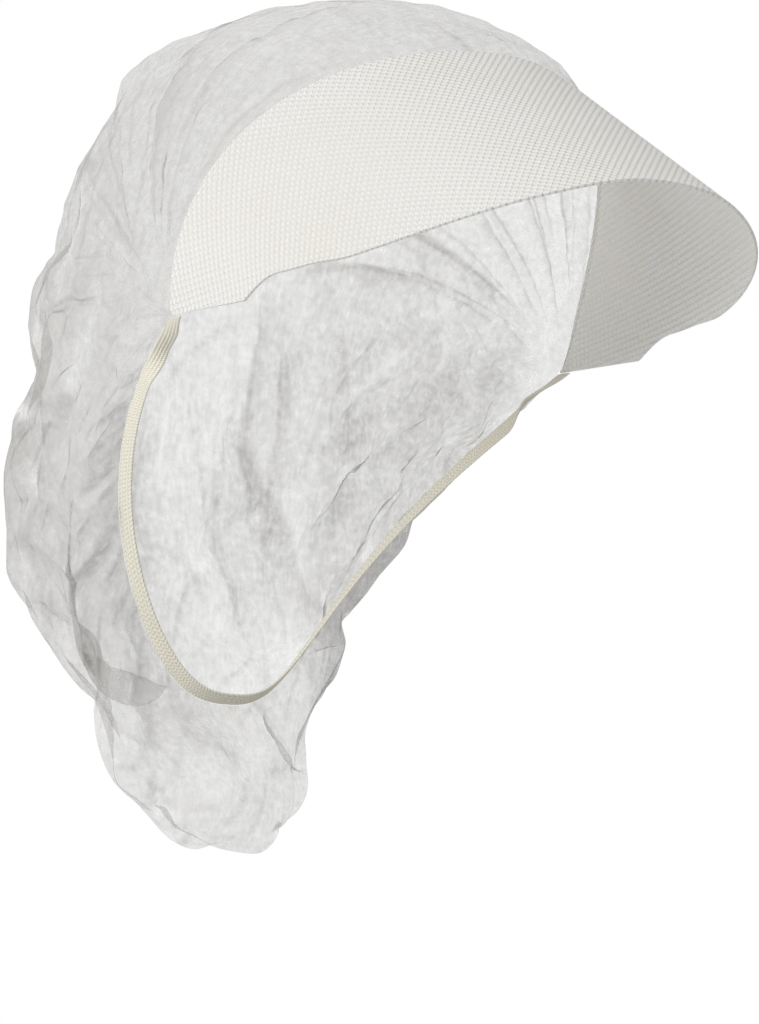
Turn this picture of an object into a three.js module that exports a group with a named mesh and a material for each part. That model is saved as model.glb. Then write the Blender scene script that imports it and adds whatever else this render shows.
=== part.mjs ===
// Disposable peaked cap: a limp bag crown, a stiff peak and a rim elastic, in the form they
// hold when worn. Millimetres, +Z up, the peak towards -Y. The forms are set out about the
// temple axis, the line between the two corners where crown, peak and elastic meet, and the
// group is then moved so the origin is the inside of the crown's top, where the cap is borne.
import * as THREE from "three";

// Sizes of the cloth
const CORNER_HALF_WIDTH = 79.2;
const CROWN_WALL = 1.0;
const PEAK_WALL = 1.0;
const ELASTIC_WIDTH = 5.0;
const ELASTIC_WALL = 1.2;
const SEAM_GAP = 0.35;
const RIM_GAP = 0.35;

// Angle along the rib, in radians, at which crown and elastic stop short of the corner, and
// the length over which the elastic turns from under the peak's end into the rim
const CROWN_START = 0.034;
const ELASTIC_START = 0.0035;
const ELASTIC_TURN = 14;

// The seat inside the crown's top, measured from the temple axis
const SEAT_BACK = 20;
const SEAT_UP = 103;

// Fineness of the meshes
const CROWN_ACROSS = 52;
const CROWN_ALONG = 42;
const PEAK_ACROSS = 46;
const PEAK_ALONG = 5;
const ELASTIC_ACROSS = 64;

// The crown is a fan of arched ribs that all run from corner to corner, like a pram hood.
// One row per rib, from the peak's seam over the top and down the back to the rim: where the
// rib's middle stands behind and above the temple axis, the angle at which it leaves the
// corner (0 is forward, 90 up), how far its shoulders bulge and how full its arch is (2 is an
// ellipse, more is squarer).
const RIBS = [
  { back: -58.2, up: 78.4, leaves: 75, bulge: 11.8, full: 1.83 },
  { back: -23.2, up: 99.4, leaves: 90, bulge: 9.0, full: 1.97 },
  { back: 24.6, up: 103.7, leaves: 106, bulge: 7.9, full: 2.04 },
  { back: 67.3, up: 94.4, leaves: 122, bulge: 5.3, full: 2.01 },
  { back: 102.4, up: 47.9, leaves: 138, bulge: 7.0, full: 2.02 },
  { back: 114.8, up: -7.2, leaves: 154, bulge: 8.1, full: 2.04 },
  { back: 107.8, up: -59.0, leaves: 170, bulge: 6.4, full: 2.08 },
  { back: 100.6, up: -97.6, leaves: 186, bulge: 5.7, full: 2.21 },
  { back: 78.0, up: -128.0, leaves: 201, bulge: -2.5, full: 2.29 },
  { back: 60.7, up: -146.5, leaves: 210, bulge: -7.5, full: 2.39 },
  { back: 66.3, up: -103.2, leaves: 214, bulge: -16.6, full: 2.38 },
];
const LAST_RIB = RIBS.length - 1;

// One row per fold, pouch or dent in the cloth: its place among the ribs and its half width
// there, the angle along the rib of its middle and its half length, and its height off the
// form (minus is a dent). Angle 0 is the corner at -X, 180 the one at +X.
const FOLDS = [
  { place: 6.9, wide: 0.6, angle: 44, long: 16, height: 4.0 },
  { place: 6.9, wide: 0.6, angle: 136, long: 16, height: 4.0 },
  { place: 8.1, wide: 0.45, angle: 54, long: 10, height: -5.0 },
  { place: 8.1, wide: 0.45, angle: 126, long: 10, height: -5.0 },
  { place: 8.8, wide: 0.4, angle: 63, long: 9, height: 4.5 },
  { place: 8.8, wide: 0.4, angle: 115, long: 9, height: 3.5 },
  { place: 0.75, wide: 0.22, angle: 48, long: 20, height: 1.8 },
  { place: 1.5, wide: 0.22, angle: 30, long: 20, height: 1.6 },
  { place: 2.6, wide: 0.25, angle: 46, long: 24, height: 2.2 },
  { place: 3.6, wide: 0.25, angle: 28, long: 22, height: 2.6 },
  { place: 4.4, wide: 0.25, angle: 40, long: 22, height: -2.4 },
  { place: 5.5, wide: 0.3, angle: 34, long: 18, height: -3.0 },
  { place: 1.1, wide: 0.22, angle: 140, long: 24, height: 1.8 },
  { place: 2.3, wide: 0.25, angle: 132, long: 22, height: 2.0 },
  { place: 3.4, wide: 0.25, angle: 146, long: 22, height: 2.6 },
  { place: 4.6, wide: 0.25, angle: 138, long: 22, height: -2.4 },
  { place: 5.6, wide: 0.3, angle: 144, long: 18, height: -3.0 },
  { place: 5.0, wide: 0.3, angle: 88, long: 16, height: -2.6 },
  { place: 6.3, wide: 0.3, angle: 96, long: 14, height: 3.0 },
];

// The peak's free edge: half width, reach and height of its two end tabs and of its tip, how
// square its plan is, how sharply its height falls off to the sides, and the end tabs' drop
const EDGE_HALF_WIDTH = 80.1;
const TAB_FORWARD = 32.3;
const TAB_UP = 6.0;
const TIP_FORWARD = 125.5;
const TIP_UP = 31.1;
const EDGE_SQUARE = 2.25;
const EDGE_ARCH = 1.9;
const TAB_DROP = 4.6;
const TAB_ANGLE = 9;

const radians = THREE.MathUtils.degToRad;
const power = (value, exponent) => Math.sign(value) * Math.abs(value) ** exponent;

// Catmull-Rom value of one column of the rib table at a place between its rows
function column(name, place) {
  const row = Math.min(Math.max(Math.floor(place), 0), LAST_RIB - 1);
  const f = place - row;
  const at = (i) => RIBS[Math.min(Math.max(i, 0), LAST_RIB)][name];
  const [a, b, c, d] = [at(row - 1), at(row), at(row + 1), at(row + 2)];
  const slope = 0.5 * (c - a);
  const nextSlope = 0.5 * (d - b);
  const bend = 3 * (c - b) - 2 * slope - nextSlope;
  const twist = 2 * (b - c) + slope + nextSlope;
  return b + f * (slope + f * (bend + f * twist));
}

// Point of the smooth crown at a place among the ribs and an angle along the rib
function ribPoint(place, angle) {
  const back = column("back", place);
  const up = column("up", place);
  const side = Math.cos(angle);
  const rise = Math.abs(Math.sin(angle));
  const squareness = 2 / column("full", place);
  const middle = THREE.MathUtils.euclideanModulo(Math.atan2(up, -back), 2 * Math.PI);
  const leaves = radians(column("leaves", place));
  const turn = leaves + (middle - leaves) * rise ** 1.5;
  const reach = Math.hypot(back, up) * rise ** squareness;
  const bulge = column("bulge", place) * Math.sin(2 * angle);
  return new THREE.Vector3(
    -CORNER_HALF_WIDTH * power(side, squareness) - bulge,
    -reach * Math.cos(turn),
    reach * Math.sin(turn),
  );
}

// Outward direction of the smooth crown
function crownNormal(place, angle) {
  const step = 0.02;
  const along = ribPoint(place, angle + step).sub(ribPoint(place, angle - step));
  const next = ribPoint(Math.min(place + step, LAST_RIB), angle);
  const across = next.sub(ribPoint(Math.max(place - step, 0), angle));
  return along.cross(across).normalize();
}

// Height of all the folds together at a point of the crown
function foldHeight(place, angle) {
  let height = 0;
  for (const fold of FOLDS) {
    const across = (place - fold.place) / fold.wide;
    const along = (angle - radians(fold.angle)) / radians(fold.long);
    height += fold.height * Math.exp(-across * across - along * along);
  }
  return height;
}

// Point of the folded crown
function crownPoint(place, angle) {
  const outward = crownNormal(place, angle).multiplyScalar(foldHeight(place, angle));
  return ribPoint(place, angle).add(outward);
}

// Place among the ribs that stands a given distance from an edge rib, by halving
function placeFrom(edge, angle, distance) {
  const start = ribPoint(edge, angle);
  let near = edge;
  let far = LAST_RIB / 2;
  for (let i = 0; i < 30; i++) {
    const middle = (near + far) / 2;
    const short = ribPoint(middle, angle).distanceTo(start) < distance;
    if (short) near = middle;
    else far = middle;
  }
  return near;
}

// Closed sheet of an even wall about a middle surface; pointAt takes two shares from 0 to 1
function sheetGeometry(columns, rows, wall, pointAt) {
  const points = [];
  for (let r = 0; r <= rows; r++) {
    for (let c = 0; c <= columns; c++) points.push(pointAt(c / columns, r / rows));
  }
  const index = (c, r) => r * (columns + 1) + c;
  const clampedPoint = (c, r) => {
    const column = Math.min(Math.max(c, 0), columns);
    return points[index(column, Math.min(Math.max(r, 0), rows))];
  };
  const outer = [];
  const inner = [];
  for (let r = 0; r <= rows; r++) {
    for (let c = 0; c <= columns; c++) {
      const along = clampedPoint(c + 1, r).clone().sub(clampedPoint(c - 1, r));
      const across = clampedPoint(c, r + 1).clone().sub(clampedPoint(c, r - 1));
      const half = along.cross(across).setLength(wall / 2);
      outer.push(points[index(c, r)].clone().add(half));
      inner.push(points[index(c, r)].clone().sub(half));
    }
  }
  const inside = points.length;
  const triangles = [];
  const quad = (a, b, c, d) => triangles.push(a, b, c, a, c, d);
  for (let r = 0; r < rows; r++) {
    for (let c = 0; c < columns; c++) {
      const [a, b] = [index(c, r), index(c + 1, r)];
      const [d, e] = [index(c, r + 1), index(c + 1, r + 1)];
      quad(a, b, e, d);
      quad(inside + a, inside + d, inside + e, inside + b);
    }
  }
  const rim = (a, b) => quad(b, a, inside + a, inside + b);
  for (let c = 0; c < columns; c++) {
    rim(index(c, 0), index(c + 1, 0));
    rim(index(c + 1, rows), index(c, rows));
  }
  for (let r = 0; r < rows; r++) {
    rim(index(columns, r), index(columns, r + 1));
    rim(index(0, r + 1), index(0, r));
  }
  return new THREE.BufferGeometry().setFromPoints([...outer, ...inner]).setIndex(triangles);
}

// Angle along a rib for a share from 0 to 1, with the steps drawn closer at both corners
function spreadAngle(share, start, crowding) {
  const eased = share - (crowding * Math.sin(2 * Math.PI * share)) / (2 * Math.PI);
  return start + (Math.PI - 2 * start) * eased;
}

function colour(hex, opacity = 1) {
  return new THREE.MeshStandardMaterial({
    color: hex,
    roughness: 0.9,
    opacity,
    transparent: opacity < 1,
    side: THREE.DoubleSide,
  });
}

// Crown: the rib surface with its folds, stopped short of the peak's seam and of the elastic
const crownGeometry = sheetGeometry(CROWN_ACROSS, CROWN_ALONG, CROWN_WALL, (u, v) => {
  const angle = spreadAngle(u, CROWN_START, 0.6);
  const front = placeFrom(0, angle, SEAM_GAP);
  const rear = placeFrom(LAST_RIB, angle, RIM_GAP);
  return crownPoint(front + (rear - front) * v, angle);
});
const crown = new THREE.Mesh(crownGeometry, colour(0xe6e8ea, 0.55));
crown.name = "crown";

// Peak: straight lines from the seam rib to the free edge, ending in two blunt tabs
function edgePoint(angle) {
  const side = Math.cos(angle);
  const rise = Math.abs(Math.sin(angle));
  const fromEnd = Math.min(angle, Math.PI - angle);
  const tab = 1 - THREE.MathUtils.smoothstep(fromEnd, 0, radians(TAB_ANGLE));
  return new THREE.Vector3(
    -EDGE_HALF_WIDTH * power(side, 2 / EDGE_SQUARE),
    -TAB_FORWARD - (TIP_FORWARD - TAB_FORWARD) * rise ** (2 / EDGE_SQUARE),
    TAB_UP + (TIP_UP - TAB_UP) * rise ** EDGE_ARCH - TAB_DROP * tab,
  );
}
const peakGeometry = sheetGeometry(PEAK_ACROSS, PEAK_ALONG, PEAK_WALL, (u, v) => {
  const angle = spreadAngle(u, 0, 0.8);
  return edgePoint(angle).lerp(ribPoint(0, angle), v);
});
const peak = new THREE.Mesh(peakGeometry, colour(0xf4f3ee));
peak.name = "peak";

// Rim elastic: a flat strip that carries on the crown's surface past its last rib. At each end
// it comes out from under the peak's tab, along the tab's lower edge.
function elasticAcross(angle) {
  const step = 0.002;
  const rim = ribPoint(LAST_RIB, angle);
  const tangent = ribPoint(LAST_RIB, angle + step).sub(rim).normalize();
  const outward = rim.clone().sub(ribPoint(LAST_RIB - 0.1, angle));
  outward.addScaledVector(tangent, -outward.dot(tangent)).normalize();
  const end = angle < Math.PI / 2 ? 0 : Math.PI;
  const corner = ribPoint(0, end);
  const alongTab = edgePoint(end).sub(corner).normalize();
  const turned = THREE.MathUtils.smoothstep(rim.distanceTo(corner), 0, ELASTIC_TURN);
  return alongTab.lerp(outward, turned).normalize();
}
const elasticGeometry = sheetGeometry(ELASTIC_ACROSS, 1, ELASTIC_WALL, (u, v) => {
  const angle = spreadAngle(u, ELASTIC_START, 0.8);
  const across = elasticAcross(angle).multiplyScalar(ELASTIC_WIDTH * v);
  return ribPoint(LAST_RIB, angle).add(across);
});
const elastic = new THREE.Mesh(elasticGeometry, colour(0xeee8cf));
elastic.name = "rim_elastic";

const cap = new THREE.Group();
cap.name = "disposable_peaked_cap";
cap.add(crown, peak, elastic);
cap.position.set(0, -SEAT_BACK, -SEAT_UP);

// The move to the seat goes into the group that is handed on, so its own frame is the part's
const part = new THREE.Group();
part.add(cap);

export default part;
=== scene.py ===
import math

import bpy
import numpy as np
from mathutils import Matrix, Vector


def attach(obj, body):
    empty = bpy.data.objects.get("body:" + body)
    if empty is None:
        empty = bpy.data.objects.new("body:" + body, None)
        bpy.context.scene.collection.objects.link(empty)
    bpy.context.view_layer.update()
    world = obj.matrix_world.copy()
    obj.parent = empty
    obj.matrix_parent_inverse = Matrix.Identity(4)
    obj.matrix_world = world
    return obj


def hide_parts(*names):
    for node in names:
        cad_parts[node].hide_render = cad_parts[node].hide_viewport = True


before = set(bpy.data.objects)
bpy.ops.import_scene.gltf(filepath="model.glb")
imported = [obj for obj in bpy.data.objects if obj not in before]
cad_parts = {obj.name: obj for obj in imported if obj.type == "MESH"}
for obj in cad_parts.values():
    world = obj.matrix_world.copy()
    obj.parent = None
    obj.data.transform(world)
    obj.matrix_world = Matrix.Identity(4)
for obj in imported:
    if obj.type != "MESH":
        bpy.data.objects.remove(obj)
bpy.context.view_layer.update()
bpy.ops.object.select_all(action="DESELECT")


# Camera
# The picture is taken from in front of the cap's right side, a little from below, with a long
# lens. The angles turn about the middle of the temple axis, which joins the cap's two corners.
MM = 0.001
TEMPLE_MIDDLE = Vector((0, -20, -103)) * MM
PICTURE_SIZE = (759, 1024)
TEMPLE_PIXEL = (372.9, 344.8)
LENS_PIXELS = 5200
CAMERA_DISTANCE = 1.552
CAMERA_AZIMUTH = math.radians(-43.04)
CAMERA_ELEVATION = math.radians(-9.12)

towards_camera = Vector((
    math.sin(CAMERA_AZIMUTH) * math.cos(CAMERA_ELEVATION),
    -math.cos(CAMERA_AZIMUTH) * math.cos(CAMERA_ELEVATION),
    math.sin(CAMERA_ELEVATION),
))
camera_right = Vector((math.cos(CAMERA_AZIMUTH), math.sin(CAMERA_AZIMUTH), 0))
camera_up = towards_camera.cross(camera_right)
aim_right = (PICTURE_SIZE[0] / 2 - TEMPLE_PIXEL[0]) / LENS_PIXELS
aim_up = (TEMPLE_PIXEL[1] - PICTURE_SIZE[1] / 2) / LENS_PIXELS
looking = (aim_right * camera_right + aim_up * camera_up - towards_camera).normalized()

lens = bpy.data.cameras.new("camera")
lens.sensor_width = 36
lens.lens = LENS_PIXELS * lens.sensor_width / max(PICTURE_SIZE)
camera = bpy.data.objects.new("camera", lens)
bpy.context.collection.objects.link(camera)
camera.location = TEMPLE_MIDDLE + CAMERA_DISTANCE * towards_camera
camera.rotation_euler = looking.to_track_quat("-Z", "Y").to_euler()
bpy.context.scene.camera = camera


# Crown
# A bag of very thin white spunbond nonwoven, so limp and open that what is behind it shows. Its
# front is sewn to the peak and its back is gathered on the elastic, so its folds fan out from
# the two temple corners, and its spare cloth hangs behind as a crumpled bag.
CORNER_HALF_WIDTH = 79.2
RIM_GAP = 0.35
SEAM_GAP = 0.35

# One row per rib, from the peak's seam over the top and down the back to the rim: how far back
# and up its middle stands, the angle at which it leaves the corners (0 is forward, 90 up), how
# far its shoulders bulge and how full its arch is (2 is an ellipse, more is squarer)
BACK, UP, LEAVES, BULGE, FULL = range(5)
RIBS = np.array([
    (-58.2, 78.4, 75, 11.8, 1.83),
    (-23.2, 99.4, 90, 9.0, 1.97),
    (24.6, 103.7, 106, 7.9, 2.04),
    (67.3, 94.4, 122, 5.3, 2.01),
    (102.4, 47.9, 138, 7.0, 2.02),
    (114.8, -7.2, 154, 8.1, 2.04),
    (107.8, -59.0, 170, 6.4, 2.08),
    (100.6, -97.6, 186, 5.7, 2.21),
    (78.0, -128.0, 201, -2.5, 2.29),
    (60.7, -146.5, 210, -7.5, 2.39),
    (66.3, -103.2, 214, -16.6, 2.38),
])
LAST_RIB = len(RIBS) - 1
TURN_POWER = 1.5

# Folds, pouches and dents: place among the ribs, half width there, angle along the rib, half
# length in degrees and height in millimetres
FOLDS = [
    (6.9, 0.6, 44, 16, 4.0),
    (6.9, 0.6, 136, 16, 4.0),
    (8.1, 0.45, 54, 10, -5.0),
    (8.1, 0.45, 126, 10, -5.0),
    (8.95, 0.4, 58, 8, 4.0),
    (8.8, 0.4, 115, 9, 3.5),
    (0.75, 0.22, 48, 20, 1.8),
    (1.5, 0.22, 30, 20, 1.6),
    (2.6, 0.25, 46, 24, 2.2),
    (3.6, 0.25, 28, 22, 2.6),
    (4.4, 0.25, 40, 22, -2.4),
    (5.5, 0.3, 34, 18, -3.0),
    (1.1, 0.22, 140, 24, 1.8),
    (2.3, 0.25, 132, 22, 2.0),
    (3.4, 0.25, 146, 22, 2.6),
    (4.6, 0.25, 138, 22, -2.4),
    (5.6, 0.3, 144, 18, -3.0),
    (5.0, 0.3, 88, 16, -2.6),
    (6.3, 0.3, 96, 14, 3.0),
    (0.45, 0.4, 118, 26, 3.5),
    (0.45, 0.4, 62, 26, 1.5),
    (8.45, 0.4, 82, 18, 5.0),
    (9.5, 0.3, 84, 20, 7.5),
    (9.0, 0.35, 102, 9, -2.5),
]
CROWN_START = 0.006
CROWN_CROWDING = 0.5
DRAPE_STEPS = (96, 116)
CROWN_STEPS = (288, 344)
CROWN_SEED = 4


def rib_column(column, place):
    """Catmull-Rom value of one column of the rib table at places between its rows."""
    row = np.clip(np.floor(place).astype(int), 0, LAST_RIB - 1)
    share = place - row
    rows = [RIBS[np.clip(row + step, 0, LAST_RIB), column] for step in (-1, 0, 1, 2)]
    before, here, after, beyond = rows
    slope = 0.5 * (after - before)
    next_slope = 0.5 * (beyond - here)
    bend = 3 * (after - here) - 2 * slope - next_slope
    twist = 2 * (here - after) + slope + next_slope
    return here + share * (slope + share * (bend + share * twist))


def rib_point(place, angle):
    """Points of the smooth crown, in millimetres from the middle of the temple axis."""
    back, up = rib_column(BACK, place), rib_column(UP, place)
    side, rise = np.cos(angle), np.abs(np.sin(angle))
    squareness = 2 / rib_column(FULL, place)
    middle = np.mod(np.arctan2(up, -back), 2 * np.pi)
    leaves = np.radians(rib_column(LEAVES, place))
    turn = leaves + (middle - leaves) * rise**TURN_POWER
    reach = np.hypot(back, up) * rise**squareness
    bulge = rib_column(BULGE, place) * np.sin(2 * angle)
    across = -CORNER_HALF_WIDTH * np.sign(side) * np.abs(side) ** squareness - bulge
    return np.stack([across, -reach * np.cos(turn), reach * np.sin(turn)], -1)


def place_from(edge, angle, distance):
    """Places among the ribs that stand a distance from an edge rib, by halving."""
    near, far = np.full_like(angle, edge), np.full_like(angle, LAST_RIB / 2)
    start = rib_point(near, angle)
    for _ in range(30):
        middle = (near + far) / 2
        short = np.linalg.norm(rib_point(middle, angle) - start, axis=-1) < distance
        near, far = np.where(short, middle, near), np.where(short, far, middle)
    return near


def spread_angle(share, start, crowding):
    """Angles along a rib for shares from 0 to 1, closer together at both corners."""
    eased = share - crowding * np.sin(2 * np.pi * share) / (2 * np.pi)
    return start + (np.pi - 2 * start) * eased


def smooth_step(value, low, high):
    """Rise from 0 to 1 between two values."""
    share = np.clip((value - low) / (high - low), 0, 1)
    return share * share * (3 - 2 * share)


def unit(vectors):
    return vectors / np.maximum(np.linalg.norm(vectors, axis=-1, keepdims=True), 1e-9)


def to_part(points):
    """Millimetres from the temple axis to metres in the part's frame."""
    return points * MM + np.array(TEMPLE_MIDDLE)


def to_temple(points):
    return (points - np.array(TEMPLE_MIDDLE)) / MM


def read_points(piece):
    points = np.empty(len(piece.data.vertices) * 3)
    piece.data.vertices.foreach_get("co", points)
    return points.reshape(-1, 3)


def write_points(piece, points):
    piece.data.vertices.foreach_set("co", np.ascontiguousarray(points).ravel())
    piece.data.update()


def new_sheet(name, steps):
    """A flat square grid whose UV map keeps each point's shares across and along the cloth."""
    bpy.ops.object.select_all(action="DESELECT")
    bpy.ops.mesh.primitive_grid_add(x_subdivisions=steps[0], y_subdivisions=steps[1], size=1)
    piece = bpy.context.object
    piece.name = piece.data.name = name
    return piece


def sheet_order(piece):
    """Point numbers of a grid as rows along the cloth, and each point's shares, as arrays."""
    corners = np.empty(len(piece.data.loops), dtype=int)
    piece.data.loops.foreach_get("vertex_index", corners)
    shares = np.empty(len(corners) * 2)
    piece.data.uv_layers[0].uv.foreach_get("vector", shares)
    point_shares = np.empty((len(piece.data.vertices), 2))
    point_shares[corners] = shares.reshape(-1, 2)
    columns = len(np.unique(point_shares[:, 0].round(5)))
    order = np.lexsort(point_shares.round(5).T).reshape(-1, columns)
    return order, *np.moveaxis(point_shares[order], -1, 0)


def crown_map(across_share, along_share):
    """Place among the ribs and angle along them for the crown's shares."""
    angle = spread_angle(across_share, CROWN_START, CROWN_CROWDING)
    front, rear = place_from(0, angle, SEAM_GAP), place_from(LAST_RIB, angle, RIM_GAP)
    return front + (rear - front) * along_share, angle


def sheet_axes(points):
    """Unit vectors along the angle and along the place, and the outward normal, over a grid."""
    ahead, side = np.gradient(points, axis=0), np.gradient(points, axis=1)
    return unit(side), unit(ahead), unit(np.cross(side, ahead))


def hills(table, place, angle):
    """Summed height of the rows of a fold table."""
    height = np.zeros_like(place)
    for where, wide, middle, long, tall in table:
        across = (place - where) / wide
        along = (np.degrees(angle) - middle) / long
        height += tall * np.exp(-across**2 - along**2)
    return height


# A fold line runs between two (place, degrees) ends and wanders a little. A tuck laps the cloth
# over itself there, and a crease lifts it to a sharp ridge. These are the cloth's run in
# millimetres per rib and per degree, and how far and how fast a line wanders.
PLACE_RUN = 45
DEGREE_RUN = 2.1
WANDER = 1.2
WANDER_RUN = 12


def fold_line(ends, place, angle):
    """Distance across a fold line, its fade at both ends, and its slant, over a grid."""
    start, end = (np.array((at * PLACE_RUN, degrees * DEGREE_RUN)) for at, degrees in ends)
    length = np.linalg.norm(end - start)
    slant = (end - start) / length
    off = np.stack([place * PLACE_RUN, np.degrees(angle) * DEGREE_RUN], -1) - start
    along = off @ slant / length
    fade = smooth_step(along, -0.15, 0.25) * (1 - smooth_step(along, 0.75, 1.15))
    wander = WANDER * np.sin(along * length / WANDER_RUN + start.sum())
    return off[..., 1] * slant[0] - off[..., 0] * slant[1] + wander, fade, slant


def tuck(points, place, angle, table):
    """Lap the cloth along each line: ends, half width, depth and height in millimetres."""
    side, ahead, out = sheet_axes(points)
    moved = points.copy()
    for ends, wide, deep, tall in table:
        across, fade, slant = fold_line(ends, place, angle)
        off = across / wide
        push = -np.sqrt(2 * np.e) * off * np.exp(-off * off) * fade
        moved += push[..., None] * (deep * (side * slant[0] - ahead * slant[1]) + tall * out)
    return moved


def ridge(off):
    """A sharp crest that falls away on both sides."""
    return np.exp(-np.abs(off))


def band(off):
    """A soft stripe."""
    return np.exp(-off * off)


def lap(off):
    """A fold that hangs over: a crisp edge on one side and a slow fade on the other."""
    return smooth_step(off, -0.25, 0.1) * np.exp(-np.maximum(off, 0))


def line_sum(place, angle, table, profile):
    """Summed value along fold lines: ends, half width and value, and the profile across."""
    total = np.zeros_like(place)
    for ends, wide, value in table:
        across, fade, _ = fold_line(ends, place, angle)
        total += value * fade * profile(across / wide)
    return total


def draw_lines(draws, count, places, angles, runs, turns):
    """Random fold lines on either side: where they start, and how far they run and turn."""
    lines = []
    for _ in range(count):
        place, angle, run, turn = (draws.uniform(*span) for span in (places, angles, runs, turns))
        ends = [(place, angle), (place + run, angle + turn)]
        if draws.random() < 0.5:
            ends = [(at, 180 - degrees) for at, degrees in ends]
        lines.append(ends)
    return lines


def draw_values(draws, lines, wide, least, most):
    """Rows of a line table: fold lines with one half width, each with a value drawn at random."""
    return [(ends, wide, draws.uniform(least, most)) for ends in lines]


FACETS = (17, 15)
FACET_HEIGHT = 3.0


def facets(draws, place, angle):
    """Angular relief from -1 to 1: random heights on a lattice, with flat triangles between."""
    heights = draws.uniform(-1, 1, (FACETS[0] + 1, FACETS[1] + 1))
    row, column = place / LAST_RIB * FACETS[0], angle / np.pi * FACETS[1]
    first_row = np.clip(row.astype(int), 0, FACETS[0] - 1)
    first_column = np.clip(column.astype(int), 0, FACETS[1] - 1)
    down, over = row - first_row, column - first_column
    here, below = heights[first_row, first_column], heights[first_row + 1, first_column]
    beside, opposite = heights[first_row, first_column + 1], heights[first_row + 1, first_column + 1]
    near_here = here + (below - here) * down + (beside - here) * over
    near_opposite = opposite + (beside - opposite) * (1 - down) + (below - opposite) * (1 - over)
    lower = here + (below - here) * down + (opposite - below) * over
    upper = here + (beside - here) * over + (opposite - beside) * down
    one_way = np.where(down + over < 1, near_here, near_opposite)
    other_way = np.where(down > over, lower, upper)
    return np.where((first_row + first_column) % 2 == 1, one_way, other_way)


# The cloth settles at ten times its size, where the simulation is steadier, and then a point
# stays within this many millimetres of where it started
SETTLE_SCALE = 10
SETTLE_FRAMES = 20
SETTLE_REACH = 12


def settle(piece, hold, slack):
    """Let a sheet with spare cloth buckle and sag in Blender's cloth simulation, and apply it."""
    for name, weights in (("hold", hold), ("taut", 1 - slack / slack.max())):
        group = piece.vertex_groups.new(name=name)
        for index, weight in enumerate(weights):
            group.add([index], weight, "REPLACE")
    start = read_points(piece)
    write_points(piece, start * SETTLE_SCALE)
    drape = piece.modifiers.new("drape", "CLOTH")
    cloth = drape.settings
    cloth.quality = 5
    cloth.mass = 0.15
    cloth.tension_stiffness = cloth.compression_stiffness = 25
    cloth.shear_stiffness = 8
    cloth.bending_stiffness = 0.8
    cloth.pin_stiffness = 1
    cloth.vertex_group_mass = "hold"
    cloth.vertex_group_shrink = "taut"
    cloth.shrink_min = -slack.max()
    cloth.shrink_max = 0
    cloth.effector_weights.gravity = 0.3
    drape.collision_settings.use_collision = False
    drape.point_cache.frame_end = SETTLE_FRAMES
    for step in range(1, SETTLE_FRAMES + 1):
        bpy.context.scene.frame_set(step)
    bpy.ops.object.modifier_apply(modifier="drape")
    bpy.context.scene.frame_set(1)
    piece.vertex_groups.clear()
    moved = read_points(piece) / SETTLE_SCALE - start
    far = np.linalg.norm(moved, axis=1, keepdims=True) + 1e-9
    reach = SETTLE_REACH * MM
    write_points(piece, start + moved * reach * np.tanh(far / reach) / far)


# The bag's two puffs are tucked over the lobe that hangs between them, and the cloth behind
# each temple hangs in long folds
PUFF_TUCKS = [
    ([(9.05, 42), (10.6, 94)], 8, 10, 4.5),
    ([(9.05, 138), (10.5, 90)], 8, -9, -4.5),
]
BAG_LAPS = [
    [(3.4, 54), (6.2, 37)],
    [(6.0, 142), (3.5, 124)],
    [(4.3, 30), (7.0, 22)],
    [(7.2, 160), (4.5, 150)],
    [(5.4, 62), (8.0, 46)],
    [(7.8, 136), (5.2, 116)],
    [(5.0, 92), (7.6, 84)],
    [(8.9, 66), (8.4, 96)],
]
BAG_CREASES = [
    ([(7.6, 37), (9.2, 32)], 4, 3.0),
    ([(6.2, 94), (7.1, 112)], 4, -3.0),
    ([(8.6, 64), (9.5, 86)], 4, 2.5),
    ([(6.6, 60), (7.6, 84)], 5, 3.0),
]
# The bag is drawn in a little before it swells. Hold is how firmly a point keeps its place, and
# slack how much longer the cloth is cut than its form.
SWELLING = 3.0
CORNER_HELD = 10
TOP_HOLD, BAG_HOLD = 0.45, 0.22
TOP_SLACK, BAG_SLACK = 0.03, 0.075
BAG_BEGINS = (2.5, 6.5)

# Shares of the sheet over which each kind of relief fades out towards its edges
SEAM_FADE = 0.03
SWELLING_FADE = 0.15
FACET_FADE = 0.08
TUCK_FADE = 0.04

# Random fold lines: how many, the places and degrees where they start, and how far they run
# and turn. Then their half width and their least and most height in millimetres.
FAN_LINES = (20, (0.4, 3.6), (12, 34), (-0.3, 0.3), (24, 50))
BAG_LINES = (36, (3.2, 7.8), (16, 84), (1.0, 2.4), (-16, 6))
LAP_LINES = (18, (3.0, 6.6), (16, 84), (1.2, 2.6), (-12, 8))
FAN_RELIEF = (4, 0.8, 1.8)
BAG_RELIEF = (5, -3, 3)
LAP_RELIEF = (9, 2, 3.5)

draped = new_sheet("crown_draped", DRAPE_STEPS)
order, across_share, along_share = sheet_order(draped)
place, angle = crown_map(across_share, along_share)
from_sides = np.minimum(across_share, 1 - across_share)
from_edge = np.minimum(np.minimum(along_share, 1 - along_share), from_sides)
in_bag = smooth_step(place, *BAG_BEGINS)
draws = np.random.default_rng(CROWN_SEED)

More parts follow.
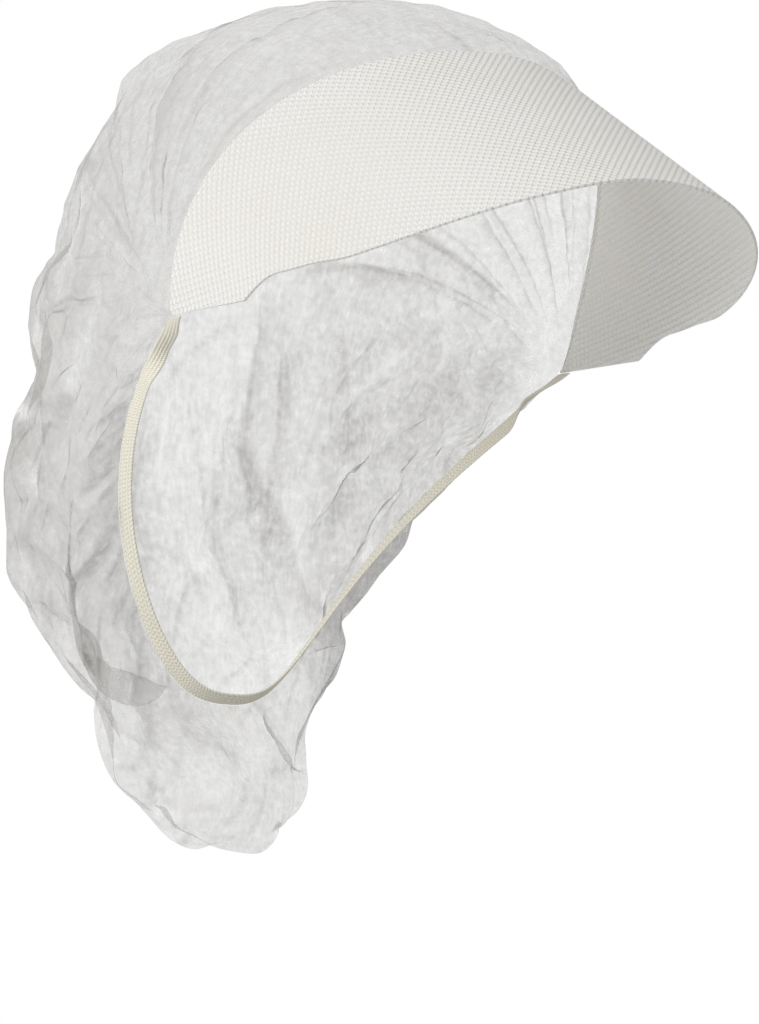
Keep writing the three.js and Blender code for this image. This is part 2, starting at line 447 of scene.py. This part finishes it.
form = rib_point(place, angle)
at_seam = smooth_step(from_edge, 0, SEAM_FADE)
lift = hills(FOLDS, place, angle) * at_seam
lift -= SWELLING * in_bag * smooth_step(from_edge, 0, SWELLING_FADE)
lift += FACET_HEIGHT * facets(draws, place, angle) * in_bag * smooth_step(from_edge, 0, FACET_FADE)
form += lift[..., None] * sheet_axes(form)[2]
fan_lines = draw_lines(draws, *FAN_LINES)
bag_lines = draw_lines(draws, *BAG_LINES)
lap_lines = BAG_LAPS + draw_lines(draws, *LAP_LINES)
relief = line_sum(place, angle, draw_values(draws, fan_lines, *FAN_RELIEF), ridge)
relief += line_sum(place, angle, BAG_CREASES + draw_values(draws, bag_lines, *BAG_RELIEF), ridge)
relief += line_sum(place, angle, draw_values(draws, lap_lines, *LAP_RELIEF), lap)
form += (relief * at_seam)[..., None] * sheet_axes(form)[2]
tucked = tuck(form, place, angle, PUFF_TUCKS)
form += (tucked - form) * smooth_step(from_edge, 0, TUCK_FADE)[..., None]

# The cloth is held fast along its edges and near the corners, and more loosely in the bag
corner_off = np.stack([CORNER_HALF_WIDTH - np.abs(form[..., 0]), form[..., 1], form[..., 2]])
from_corner = np.linalg.norm(corner_off, axis=0)
hold = TOP_HOLD + (BAG_HOLD - TOP_HOLD) * in_bag
hold = np.maximum(hold, 1 - smooth_step(from_corner, CORNER_HELD, 2 * CORNER_HELD))
hold[from_edge < 1e-6] = 1
slack = TOP_SLACK + (BAG_SLACK - TOP_SLACK) * in_bag


def by_point(order, grid):
    """A grid of values back in the mesh's own point order."""
    values = np.empty((order.size, *grid.shape[2:]))
    values[order.ravel()] = grid.reshape(order.size, *grid.shape[2:])
    return values


write_points(draped, to_part(by_point(order, form)))
settle(draped, by_point(order, hold), by_point(order, slack))
settled = to_temple(read_points(draped)[order])
bpy.ops.object.delete()


def finer(points, steps):
    """A grid of points taken as a smooth cubic sheet, and read in more steps along its rows."""
    before, after = 2 * points[:1] - points[1:2], 2 * points[-1:] - points[-2:-1]
    held = np.concatenate([before, points, after])
    at = np.linspace(0, len(points) - 1, steps + 1)
    row = np.minimum(at.astype(int), len(points) - 2)
    share = (at - row)[:, None, None]
    rest = 1 - share
    inner = (3 * near**3 - 6 * near**2 + 4 for near in (share, rest))
    weights = (rest**3, *inner, share**3)
    return sum(weight * held[row + step] for step, weight in enumerate(weights)) / 6


# Thin pleats fan out from the corners, up to three layers of cloth where each is doubled over,
# and short gathers stand along both sewn edges
TOP_PLEATS = [
    [(1.85, 52), (1.2, 16)],
    [(2.45, 44), (3.3, 12)],
    [(3.3, 24), (4.4, 20)],
    [(0.65, 50), (0.08, 29)],
    [(0.5, 84), (0.25, 104)],
    [(1.2, 132), (0.9, 164)],
    [(2.4, 118), (2.7, 156)],
]
# Lines on the seen side of the bag: panes, low ridges where the cloth is thinned past one wall,
# a painted highlight, with half widths, and creases, where the cloth is doubled over, with half
# widths and layers. The other side gets the same lines, a little further on.
BAG_PANES = [
    ([(4.9, 18), (8.1, 15)], 4.0),
    ([(4.8, 34), (5.6, 48)], 4.0),
    ([(3.4, 30), (5.4, 25)], 2.8),
    ([(5.8, 46), (7.0, 28)], 3.2),
    ([(7.3, 32), (7.9, 31)], 3.8),
    ([(7.85, 32), (8.5, 32.5)], 1.4),
    ([(8.5, 33), (9.3, 39)], 1.4),
    ([(7.25, 42), (7.35, 56)], 3.2),
    ([(9.3, 59), (9.4, 65)], 1.4),
]
SEEN_CREASES = [
    ([(7.35, 25), (7.5, 36)], 1.1, 1.1),
    ([(7.2, 39), (7.7, 31)], 1.1, 1.0),
    ([(6.9, 24), (7.5, 25)], 1.3, 1.0),
    ([(7.5, 41), (7.62, 55)], 1.1, 1.0),
    ([(8.95, 59), (9.45, 67)], 1.3, 1.0),
    ([(9.45, 67), (9.9, 84)], 1.3, 1.0),
    ([(9.47, 71), (9.75, 78)], 1.1, 0.9),
    ([(9.75, 80), (9.6, 88)], 1.1, 0.9),
    ([(9.15, 64), (9.2, 71)], 1.2, 0.9),
    ([(9.2, 71), (9.35, 84)], 1.2, 0.9),
]
OTHER_SIDE = 0.2
OTHER_PANES = 0.4

# Random pleats and fine creases, as for the fold lines above, and then their half widths with
# the least and most layers of cloth that they add. Below zero a line thins the cloth past one
# wall, a painted highlight along it.
PLEAT_LINES = (44, (0.3, 4.4), (7, 26), (-0.25, 0.25), (24, 54))
FINE_LINES = (90, (3.0, 9.0), (12, 84), (0.3, 1.2), (-14, 14))
PLEAT_RELIEF = (1.8, -1.0, 1.4)
FINE_RELIEF = (1.6, -0.9, 0.9)
PLEAT_LAYERS_AND_HIGHLIGHTS = (1.1, -0.2, 2.0)
PLEAT_LAP_LAYERS_AND_HIGHLIGHTS = (5, -0.3, 0.8)
BAG_LAP_LAYERS_AND_HIGHLIGHTS = (8, -0.5, 1.7)
FINE_LAYERS_AND_HIGHLIGHTS = (1.0, -0.6, 1.0)

# Layers that the puffs add and the lobe takes away, the layers to which the panes thin the cloth,
# a painted highlight, and the spans over which puffs and lobe begin and end, in degrees from the
# corner and in places
PUFF_LAYERS = 1.3
LOBE_LAYERS = -0.3
PANE_HIGHLIGHT_LAYERS = -0.6
PUFF_BEGINS, PUFF_ENDS = (2, 14), (42, 55)
LOBE_BEGINS, LOBE_PLACES = (48, 58), (7, 8.5)

# Spare cloth, which crinkles: the places and the angles from the corner, in radians, over which
# it begins, and its share near the corners
SPARE_PLACES = (2.2, 6)
SPARE_BEGINS = (0.1, 0.4)
SPARE_AT_SIDES = 0.4

# Gathers: their step, how far in they are highest, the stretch at each end where they fade in,
# and their heights by row, at the front seam and the back rim
GATHER_STEP = 4.5
GATHER_LENGTH = 4.5
GATHER_ENDS = (4, 16)
GATHER_HEIGHTS = {0: 0.267, -1: 0.2}
PLEAT_FADE = 0.02

crown = new_sheet("crown_cloth", CROWN_STEPS)
order, across_share, along_share = sheet_order(crown)
place, angle = crown_map(across_share, along_share)
more_rows = finer(settled, CROWN_STEPS[1])
form = finer(more_rows.swapaxes(0, 1), CROWN_STEPS[0]).swapaxes(0, 1)
pleat_lines = TOP_PLEATS + draw_lines(draws, *PLEAT_LINES)
fine_lines = draw_lines(draws, *FINE_LINES)
relief = line_sum(place, angle, draw_values(draws, pleat_lines, *PLEAT_RELIEF), ridge)
relief += line_sum(place, angle, draw_values(draws, fine_lines, *FINE_RELIEF), ridge)


def both_sides(table, other_share):
    """The rows of a line table, and the same lines, weaker, on the cap's other side."""
    other = []
    for ends, wide, value in table:
        mirrored = [(at + OTHER_SIDE, 180 - degrees) for at, degrees in ends]
        other.append((mirrored, wide, value * other_share))
    return table + other


creases = both_sides(SEEN_CREASES, 1)
panes = both_sides([(ends, wide, 1) for ends, wide in BAG_PANES], OTHER_PANES)
relief += line_sum(place, angle, panes, ridge) - line_sum(place, angle, creases, ridge)
at_seam = smooth_step(np.minimum(along_share, 1 - along_share), 0, PLEAT_FADE)
form += (relief * at_seam)[..., None] * sheet_axes(form)[2]
# Lines with values below zero thin the cloth past one wall, painted highlights along them
layers_and_highlights = line_sum(place, angle, draw_values(draws, pleat_lines, *PLEAT_LAYERS_AND_HIGHLIGHTS), band)
layers_and_highlights += line_sum(place, angle, draw_values(draws, pleat_lines, *PLEAT_LAP_LAYERS_AND_HIGHLIGHTS), lap)
layers_and_highlights += line_sum(place, angle, draw_values(draws, lap_lines, *BAG_LAP_LAYERS_AND_HIGHLIGHTS), lap)
layers_and_highlights += line_sum(place, angle, draw_values(draws, fine_lines, *FINE_LAYERS_AND_HIGHLIGHTS), band)
layers_and_highlights += line_sum(place, angle, creases, band)
corner_angle = np.minimum(angle, np.pi - angle)
inwards = np.degrees(corner_angle)
in_puff = smooth_step(place, *BAG_BEGINS) * smooth_step(inwards, *PUFF_BEGINS)
in_puff *= 1 - smooth_step(inwards, *PUFF_ENDS)
in_lobe = smooth_step(place, *LOBE_PLACES) * smooth_step(inwards, *LOBE_BEGINS)
layers_and_highlights += PUFF_LAYERS * in_puff + LOBE_LAYERS * in_lobe
# The panes thin the cloth past one wall, a painted highlight
pane_highlight = np.minimum(line_sum(place, angle, panes, band), 1)
layers_and_highlights = np.maximum(layers_and_highlights + (PANE_HIGHLIGHT_LAYERS - layers_and_highlights) * pane_highlight, PANE_HIGHLIGHT_LAYERS)

columns = order.shape[1]
for row, height in GATHER_HEIGHTS.items():
    run = np.cumsum(np.linalg.norm(np.gradient(form[row], axis=0), axis=-1))
    swing = np.cumsum(draws.uniform(0.4, 1.6, columns) * np.gradient(run)) / GATHER_STEP
    waves = np.sin(2 * np.pi * swing) * draws.uniform(0.5, 1, columns)
    inward = np.linalg.norm(form - form[row], axis=-1)
    ends = smooth_step(np.minimum(run, run[-1] - run), *GATHER_ENDS)
    rise = inward / GATHER_LENGTH * np.exp(1 - inward / GATHER_LENGTH)
    form += (height * waves * ends * rise)[..., None] * sheet_axes(form)[2]
write_points(crown, to_part(by_point(order, form)))
inside = smooth_step(corner_angle, *SPARE_BEGINS)
spare = smooth_step(place, *SPARE_PLACES) * (SPARE_AT_SIDES + (1 - SPARE_AT_SIDES) * inside)
for name, values in (("layers_and_highlights", layers_and_highlights), ("spare", spare)):
    kept = crown.data.attributes.new(name, "FLOAT", "POINT")
    kept.data.foreach_set("value", by_point(order, values))
bpy.ops.object.shade_smooth()
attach(crown, "root")
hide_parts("crown")


class Wire:
    """A socket of the material being made: arithmetic on it adds Math nodes."""

    tree = None

    def __init__(self, socket):
        self.socket = socket

    @classmethod
    def node(cls, kind, settings=None, sockets=None, output=0):
        """Add a node, set it up, fill or link its sockets, and give one of its outputs."""
        made = cls.tree.nodes.new(kind)
        for name, value in (settings or {}).items():
            setattr(made, name, value)
        for name, value in (sockets or {}).items():
            if isinstance(value, Wire):
                cls.tree.links.new(value.socket, made.inputs[name])
            else:
                made.inputs[name].default_value = value
        return cls(made.outputs[output])

    @staticmethod
    def maths(operation, *values):
        return Wire.node("ShaderNodeMath", {"operation": operation}, dict(enumerate(values)))

    def __add__(self, other):
        return Wire.maths("ADD", self, other)

    def __sub__(self, other):
        return Wire.maths("SUBTRACT", self, other)

    def __rsub__(self, other):
        return Wire.maths("SUBTRACT", other, self)

    def __mul__(self, other):
        return Wire.maths("MULTIPLY", self, other)

    __radd__ = __add__
    __rmul__ = __mul__


def new_material(piece, name):
    """A material on a piece, with its shader."""
    material = bpy.data.materials.new(name)
    material.use_nodes = True
    piece.data.materials.clear()
    piece.data.materials.append(material)
    Wire.tree = material.node_tree
    return material.node_tree.nodes["Principled BSDF"]


def feed(shader, **sockets):
    """Link wires into a shader's sockets; underscores stand for spaces."""
    for name, wire in sockets.items():
        Wire.tree.links.new(wire.socket, shader.inputs[name.replace("_", " ")])


def noise(where, scale, detail=2):
    """Cloudy values from 0 to 1."""
    return Wire.node("ShaderNodeTexNoise", sockets={"Vector": where, "Scale": scale, "Detail": detail})


def mapped(where, **changes):
    """Coordinates turned or scaled."""
    return Wire.node("ShaderNodeMapping", sockets={"Vector": where, **changes})


def rise_between(value, low, high, shape="SMOOTHSTEP"):
    """A rise from 0 to 1 between two values."""
    sockets = {"Value": value, "From Min": low, "From Max": high}
    return Wire.node("ShaderNodeMapRange", {"interpolation_type": shape}, sockets)


def mix_colour(share, first, second):
    """A colour between two others."""
    sockets = {"Factor": share, 6: (*first, 1), 7: (*second, 1)}
    return Wire.node("ShaderNodeMix", {"data_type": "RGBA"}, sockets, output=2)


def raised(height, strength, distance):
    """A normal for relief, with the distance that it reaches in millimetres."""
    sockets = {"Height": height, "Strength": strength, "Distance": distance * MM}
    return Wire.node("ShaderNodeBump", sockets=sockets)


# How dense and so how opaque a single layer is comes from clouds, patches and long fibres. Each
# further layer lets the open share of the light through once more.
CROWN_WHITE = (0.50, 0.49, 0.475)
CROWN_PALE = (0.62, 0.61, 0.59)
CLOUD_SCALE = 420
PATCH_SCALE = 110
FIBRE_SCALES = (1100, 1000)
FIBRE_RUN = (0.30, 0.07, 1)
SLANT_RUN = (0.30, 0.09, 1)
SLANT_TURN = (0, 0, 0.5)
OPEN_SHARE = 1.19
CRINKLE_CELLS = (15, 10, 1)
CRINKLE_DRIFT = 0.7
CRINKLE_WIDTH = 0.09
CRINKLE_SHADE_LAYERS = 0.45
BREAK_SCALE = 45

shader = new_material(crown, "crown_nonwoven")
where = Wire.node("ShaderNodeTexCoord", output="Object")
cut = Wire.node("ShaderNodeTexCoord", output="UV")
lengthwise = noise(mapped(cut, Scale=FIBRE_RUN), FIBRE_SCALES[0])
slantwise = noise(mapped(cut, Rotation=SLANT_TURN, Scale=SLANT_RUN), FIBRE_SCALES[1])
fibres = lengthwise * 0.5 + slantwise * 0.5
clouds = noise(where, CLOUD_SCALE, 3)
density = clouds * 0.4 + fibres * 0.4 + noise(where, PATCH_SCALE) * 0.2
layers_and_highlights = Wire.node("ShaderNodeAttribute", {"attribute_name": "layers_and_highlights"}, output="Fac")
spare = Wire.node("ShaderNodeAttribute", {"attribute_name": "spare"}, output="Fac")

# Spare cloth is crinkled along the borders of wavy cells, with breaks, and is made denser along
# them, a painted shade in the creases
cells = mapped(cut, Scale=CRINKLE_CELLS)
drift = Wire.node("ShaderNodeTexNoise", sockets={"Vector": cells, "Scale": CRINKLE_DRIFT}, output="Color")
bent = Wire.node("ShaderNodeVectorMath", {"operation": "ADD"}, {0: cells, 1: drift})
borders = {"feature": "DISTANCE_TO_EDGE", "voronoi_dimensions": "2D"}
crinkle = Wire.node("ShaderNodeTexVoronoi", borders, {"Vector": bent, "Scale": 1}, output="Distance")
broken = rise_between(noise(where, BREAK_SCALE, 1), 0.38, 0.62)
crease = rise_between(crinkle, CRINKLE_WIDTH, 0) * spare * broken
# Layer counts below zero thin the cloth past one wall, painted highlights
cover = 1 - Wire.maths("POWER", OPEN_SHARE - density, layers_and_highlights + crease * CRINKLE_SHADE_LAYERS + 1)
relief = raised(crease + clouds * 0.1, 0.7, 1.1)
feed(shader, Base_Color=mix_colour(density, CROWN_WHITE, CROWN_PALE), Alpha=cover, Normal=relief)
shader.inputs["Roughness"].default_value = 0.8


# Peak
# A stiff crescent of thick white nonwoven, embossed all over with small diamonds. Its upper
# edge is sewn into the crown's front with a narrow lip turned in, its free edge is cut, and its
# two ends are blunt tabs.
EDGE_HALF_WIDTH = 80.1
TAB_FORWARD = 32.3
TAB_UP = 6.0
TAB_DROP = 6.0
TAB_LENGTH = 6.8
TIP_FORWARD = 125.5
TIP_UP = 31.1
EDGE_SQUARE = 2.25
EDGE_ARCH = 1.9
EDGE_SAG = 1.4
SAG_BEGINS, SAG_ENDS = (13, 22), (60, 85)
PEAK_STEPS = (150, 20)
PEAK_CROWDING = 0.8
PEAK_WALL = 0.9

# The lip: rows of the grid in it, how far it goes in and under, the angle over which it fades
# out at the ends, and its share of the peak's depth when laid flat
TURNED_ROWS = 3
TURNED_IN = 1.0
TURNED_UNDER = 0.6
TURNED_FADE = 0.25
TURNED_FLAT = 0.05


def edge_point(angle):
    """Points of the peak's free edge, in millimetres from the middle of the temple axis."""
    side, rise = np.cos(angle), np.abs(np.sin(angle))
    from_end = np.degrees(np.minimum(angle, np.pi - angle))
    tab = np.maximum(1 - from_end / TAB_LENGTH, 0) ** 2
    sag = EDGE_SAG * smooth_step(from_end, *SAG_BEGINS) * (1 - smooth_step(from_end, *SAG_ENDS))
    across = -EDGE_HALF_WIDTH * np.sign(side) * np.abs(side) ** (2 / EDGE_SQUARE)
    forward = TAB_FORWARD + (TIP_FORWARD - TAB_FORWARD) * rise ** (2 / EDGE_SQUARE)
    up = TAB_UP + (TIP_UP - TAB_UP) * rise**EDGE_ARCH - TAB_DROP * tab - sag
    return np.stack([across, -forward, up], -1)


def lay_flat(first, second):
    """Two edges of a ruled sheet laid flat in one plane, ruling by ruling."""
    flat_first = [np.zeros(2)]
    flat_second = [np.array((0, np.linalg.norm(second[0] - first[0])))]
    for i in range(1, len(first)):
        for edge, flat in ((first, flat_first), (second, flat_second)):
            root, tip = flat_first[-1], flat_second[i - 1]
            solid_root = first[len(flat_first) - 1]
            ruling = unit(tip - root)
            span = edge[i] - solid_root
            up = span @ unit(second[i - 1] - solid_root)
            aside = math.sqrt(max(span @ span - up * up, 0))
            flat.append(root + ruling * up + np.array((ruling[1], -ruling[0])) * aside)
    return np.array(flat_first), np.array(flat_second)


peak = new_sheet("peak_board", PEAK_STEPS)
order, across_share, along_share = sheet_order(peak)
angle = spread_angle(across_share, 0, PEAK_CROWDING)
turned = 1 - TURNED_ROWS / PEAK_STEPS[1]
depth_share = np.minimum(along_share / turned, 1)
free_edge, seam = edge_point(angle), rib_point(np.zeros_like(angle), angle)
form = free_edge + (seam - free_edge) * depth_share[..., None]
beyond = np.maximum(along_share - turned, 0) / (1 - turned)
fading = smooth_step(np.minimum(angle, np.pi - angle), 0, TURNED_FADE)
inner = rib_point(place_from(0, angle, TURNED_IN), angle) - seam
inner_out = unit(np.cross(np.gradient(seam, axis=1), inner))
form += unit(inner) * (beyond * fading * TURNED_IN)[..., None]
form -= inner_out * (np.sqrt(beyond) * fading * TURNED_UNDER)[..., None]
write_points(peak, to_part(by_point(order, form)))

# The UV map is the flat cut in metres, with the peak's middle line upright
flat_edge, flat_seam = lay_flat(free_edge[0], seam[0])
flat = flat_edge + (flat_seam - flat_edge) * (depth_share + beyond * TURNED_FLAT)[..., None]
middle = flat[:, flat.shape[1] // 2]
lean = unit(middle[-1] - middle[0])
flat = np.stack([flat @ np.array((lean[1], -lean[0])), flat @ lean], -1)
corners = np.empty(len(peak.data.loops), dtype=int)
peak.data.loops.foreach_get("vertex_index", corners)
peak.data.uv_layers[0].uv.foreach_set("vector", (by_point(order, flat) * MM)[corners].ravel())

wall = peak.modifiers.new("wall", "SOLIDIFY")
wall.thickness = PEAK_WALL * MM
wall.offset = 0
bpy.ops.object.modifier_apply(modifier="wall")
bpy.ops.object.shade_smooth_by_angle(angle=math.radians(40))
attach(peak, "root")
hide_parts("peak")

# Two sets of slanting furrows cross in the cloth, one a little deeper, and leave the diamonds.
# The colour darkens in the furrows, a painted shade, and in lint specks of random tone.
PEAK_WHITE = (0.905, 0.893, 0.86)
PEAK_CREAM = (0.895, 0.877, 0.815)
PEAK_FURROW_SHADE_AND_LINT = (0.80, 0.80, 0.79, 1)
DIAMOND_STEP = 2.55 * MM
DIAMOND_TURN = (0, 0, math.radians(2))
FURROWS = (0.22, 0.28)
CREAM_SCALE = 28
LINT_SCALE = 1400

shader = new_material(peak, "peak_nonwoven")
where = Wire.node("ShaderNodeTexCoord", output="Object")
cut = mapped(Wire.node("ShaderNodeTexCoord", output="UV"), Rotation=DIAMOND_TURN)
cut_across = Wire.node("ShaderNodeSeparateXYZ", sockets={"Vector": cut})
cut_along = Wire(cut_across.socket.node.outputs["Y"])
turn = 2 * math.pi / DIAMOND_STEP
one_way = Wire.maths("SINE", (cut_across + cut_along) * turn)
other_way = Wire.maths("SINE", (cut_across - cut_along) * turn)
pressed = rise_between(one_way * FURROWS[0] + other_way * FURROWS[1], -0.25, 0.4)
lint = noise(where, LINT_SCALE)
cream = rise_between(noise(where, CREAM_SCALE), 0.45, 0.7, "LINEAR")
cloth_colour = mix_colour(cream, PEAK_WHITE, PEAK_CREAM)
multiply = {"data_type": "RGBA", "blend_type": "MULTIPLY"}
# Darker in the furrows, a painted shade, and in lint specks, the cloth's own tone
furrow_shade_and_lint = {"Factor": pressed * 0.15 + lint * 0.15, 6: cloth_colour, 7: PEAK_FURROW_SHADE_AND_LINT}
colour_with_furrow_shade = Wire.node("ShaderNodeMix", multiply, furrow_shade_and_lint, output=2)
feed(shader, Base_Color=colour_with_furrow_shade, Normal=raised(lint * 0.2 - pressed, 0.9, 0.5))
shader.inputs["Roughness"].default_value = 0.75
shader.inputs["Subsurface Weight"].default_value = 0.6
shader.inputs["Subsurface Radius"].default_value = (1, 0.96, 0.88)
shader.inputs["Subsurface Scale"].default_value = 1.2 * MM


# Rim elastic
# A flat cream braid of five cords, sewn along the crown's back edge. At each end it comes out
# from under the peak's tab, turns back along the rim, and then rolls over towards its edge.
ELASTIC_WIDTH = 5.0
ELASTIC_WALL = 1.1
ELASTIC_CORDS = 5
ELASTIC_START = 0.0035
ELASTIC_CROWDING = 0.8
ELASTIC_STEPS = (260, 48)

# Distances from the corner over which the band turns into the rim and then rolls over, and
# small steps along and into the cloth that give the rim's directions
ELASTIC_TURNS = (0, 14)
ELASTIC_ROLLS = (12, 26)
ELASTIC_ROLL = math.radians(64)
ALONG_STEP = 0.002
INTO_STEP = 0.1

# The cords at the band's edges, as a share of the middle ones, and its least half thickness
EDGE_CORD = 0.55
LEAST_HALF = 0.22

elastic = new_sheet("rim_elastic_braid", ELASTIC_STEPS)
order, across_share, along_share = sheet_order(elastic)
angle = spread_angle(across_share, ELASTIC_START, ELASTIC_CROWDING)
last = np.full_like(angle, float(LAST_RIB))
rim = rib_point(last, angle)
tangent = unit(rib_point(last, angle + ALONG_STEP) - rim)
outward = rim - rib_point(last - INTO_STEP, angle)
outward = unit(outward - tangent * np.sum(outward * tangent, -1, keepdims=True))
end_angle = np.where(angle < np.pi / 2, 0.0, np.pi)
corner = rib_point(np.zeros_like(end_angle), end_angle)
along_tab = unit(edge_point(end_angle) - corner)
from_corner = np.linalg.norm(rim - corner, axis=-1)
turned = smooth_step(from_corner, *ELASTIC_TURNS)[..., None]
flat_across = unit(along_tab + (outward - along_tab) * turned)
facing = unit(np.cross(tangent, flat_across))
roll = (ELASTIC_ROLL * smooth_step(from_corner, *ELASTIC_ROLLS))[..., None]
across = flat_across * np.cos(roll) + facing * np.sin(roll)
facing = unit(np.cross(tangent, across))

# Round the section: out along one face and back along the other
width_share = 1 - np.abs(2 * along_share - 1)
face = np.sign(0.5 - along_share)
cords = np.abs(np.sin(np.pi * ELASTIC_CORDS * width_share))
thick = ELASTIC_WALL / 2 * np.sqrt(cords)
thick *= EDGE_CORD + (1 - EDGE_CORD) * np.sin(np.pi * width_share)
thick = np.maximum(thick, LEAST_HALF * smooth_step(width_share * (1 - width_share), 0, 0.02))
form = rim + across * (ELASTIC_WIDTH * width_share)[..., None] + facing * (face * thick)[..., None]
write_points(elastic, to_part(by_point(order, form)))
bpy.ops.object.mode_set(mode="EDIT")
bpy.ops.mesh.select_all(action="SELECT")
bpy.ops.mesh.remove_doubles(threshold=0.01 * MM)
bpy.ops.mesh.fill_holes(sides=0)
bpy.ops.mesh.normals_make_consistent(inside=False)
bpy.ops.object.mode_set(mode="OBJECT")
bpy.ops.object.shade_smooth()
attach(elastic, "root")
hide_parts("rim_elastic")

ELASTIC_CREAM = (0.95, 0.93, 0.83)
ELASTIC_GROOVE_SHADE_AND_TONE = (0.76, 0.71, 0.57)
STITCHES = 260
STITCH_SLANT = 0.7
THREAD_SCALE = 1500

shader = new_material(elastic, "elastic_braid")
where = Wire.node("ShaderNodeTexCoord", output="Object")
braid = Wire.node("ShaderNodeTexCoord", output="UV")
braid_along = Wire.node("ShaderNodeSeparateXYZ", sockets={"Vector": braid})
braid_round = Wire(braid_along.socket.node.outputs["Y"])
slant = Wire.maths("PINGPONG", braid_round * (2 * ELASTIC_CORDS), 1)
stitch_turns = (braid_along * STITCHES + slant * STITCH_SLANT) * (2 * math.pi)
stitches = Wire.maths("SINE", stitch_turns) * 0.5 + 0.5
threads = stitches * 0.6 + noise(where, THREAD_SCALE) * 0.4
# The colour darkens between the stitches, a painted shade in the braid's grooves, and with thread noise
# of random tone
elastic_colour_with_groove_shade = mix_colour(threads, ELASTIC_GROOVE_SHADE_AND_TONE, ELASTIC_CREAM)
feed(shader, Base_Color=elastic_colour_with_groove_shade, Normal=raised(threads, 0.8, 0.2))
shader.inputs["Roughness"].default_value = 0.85


# Floor and light
# A pale floor well below the cap, a white surround, and soft studio light: a key from the
# cap's right side, two weak lamps in front, one from its left side, one behind for the back of
# the bag, and one from below, as light from a table.
FLOOR_SIZE = 60
FLOOR_DEPTH = -0.45
FLOOR_PALE = (0.9, 0.9, 0.9, 1)
FLOOR_GLOW = 0.3
FILL = 0.36
LAMP_SPREAD = math.radians(35)

bpy.ops.object.select_all(action="DESELECT")
bpy.ops.mesh.primitive_plane_add(size=FLOOR_SIZE, location=(0, 0, FLOOR_DEPTH))
floor = bpy.context.object
floor.name = "floor"
floor.visible_diffuse = floor.visible_shadow = False
shader = new_material(floor, "floor_pale")
shader.inputs["Base Color"].default_value = FLOOR_PALE
shader.inputs["Roughness"].default_value = 1
shader.inputs["Emission Color"].default_value = FLOOR_PALE
shader.inputs["Emission Strength"].default_value = FLOOR_GLOW

world = bpy.data.worlds.new("surround")
bpy.context.scene.world = world
world.use_nodes = True
background = world.node_tree.nodes["Background"]
background.inputs["Color"].default_value = (1, 1, 1, 1)
Wire.tree = world.node_tree
seen = Wire.node("ShaderNodeLightPath", output="Is Camera Ray")
feed(background, Strength=seen * (1 - FILL) + FILL)
bpy.context.scene.view_settings.view_transform = "Standard"
bpy.context.scene.cycles.transparent_max_bounces = 32

for name, comes_from, strength in (
    ("key_lamp", (-1.9, -0.6, 0.7), 1.7),
    ("low_lamp", (-1.4, -1.3, 0.1), 0.42),
    ("far_lamp", (0.9, -1.3, 1.2), 0.2),
    ("side_lamp", (1.8, 0.5, 0.3), 0.6),
    ("back_lamp", (0.5, 1.5, 1.2), 0.8),
    ("bounce_lamp", (-0.6, 0.9, -1.2), 0.8),
):
    light = bpy.data.lights.new(name, "SUN")
    light.energy = strength
    light.angle = LAMP_SPREAD
    lamp = bpy.data.objects.new(name, light)
    bpy.context.collection.objects.link(lamp)
    lamp.rotation_euler = Vector(comes_from).to_track_quat("Z", "Y").to_euler()
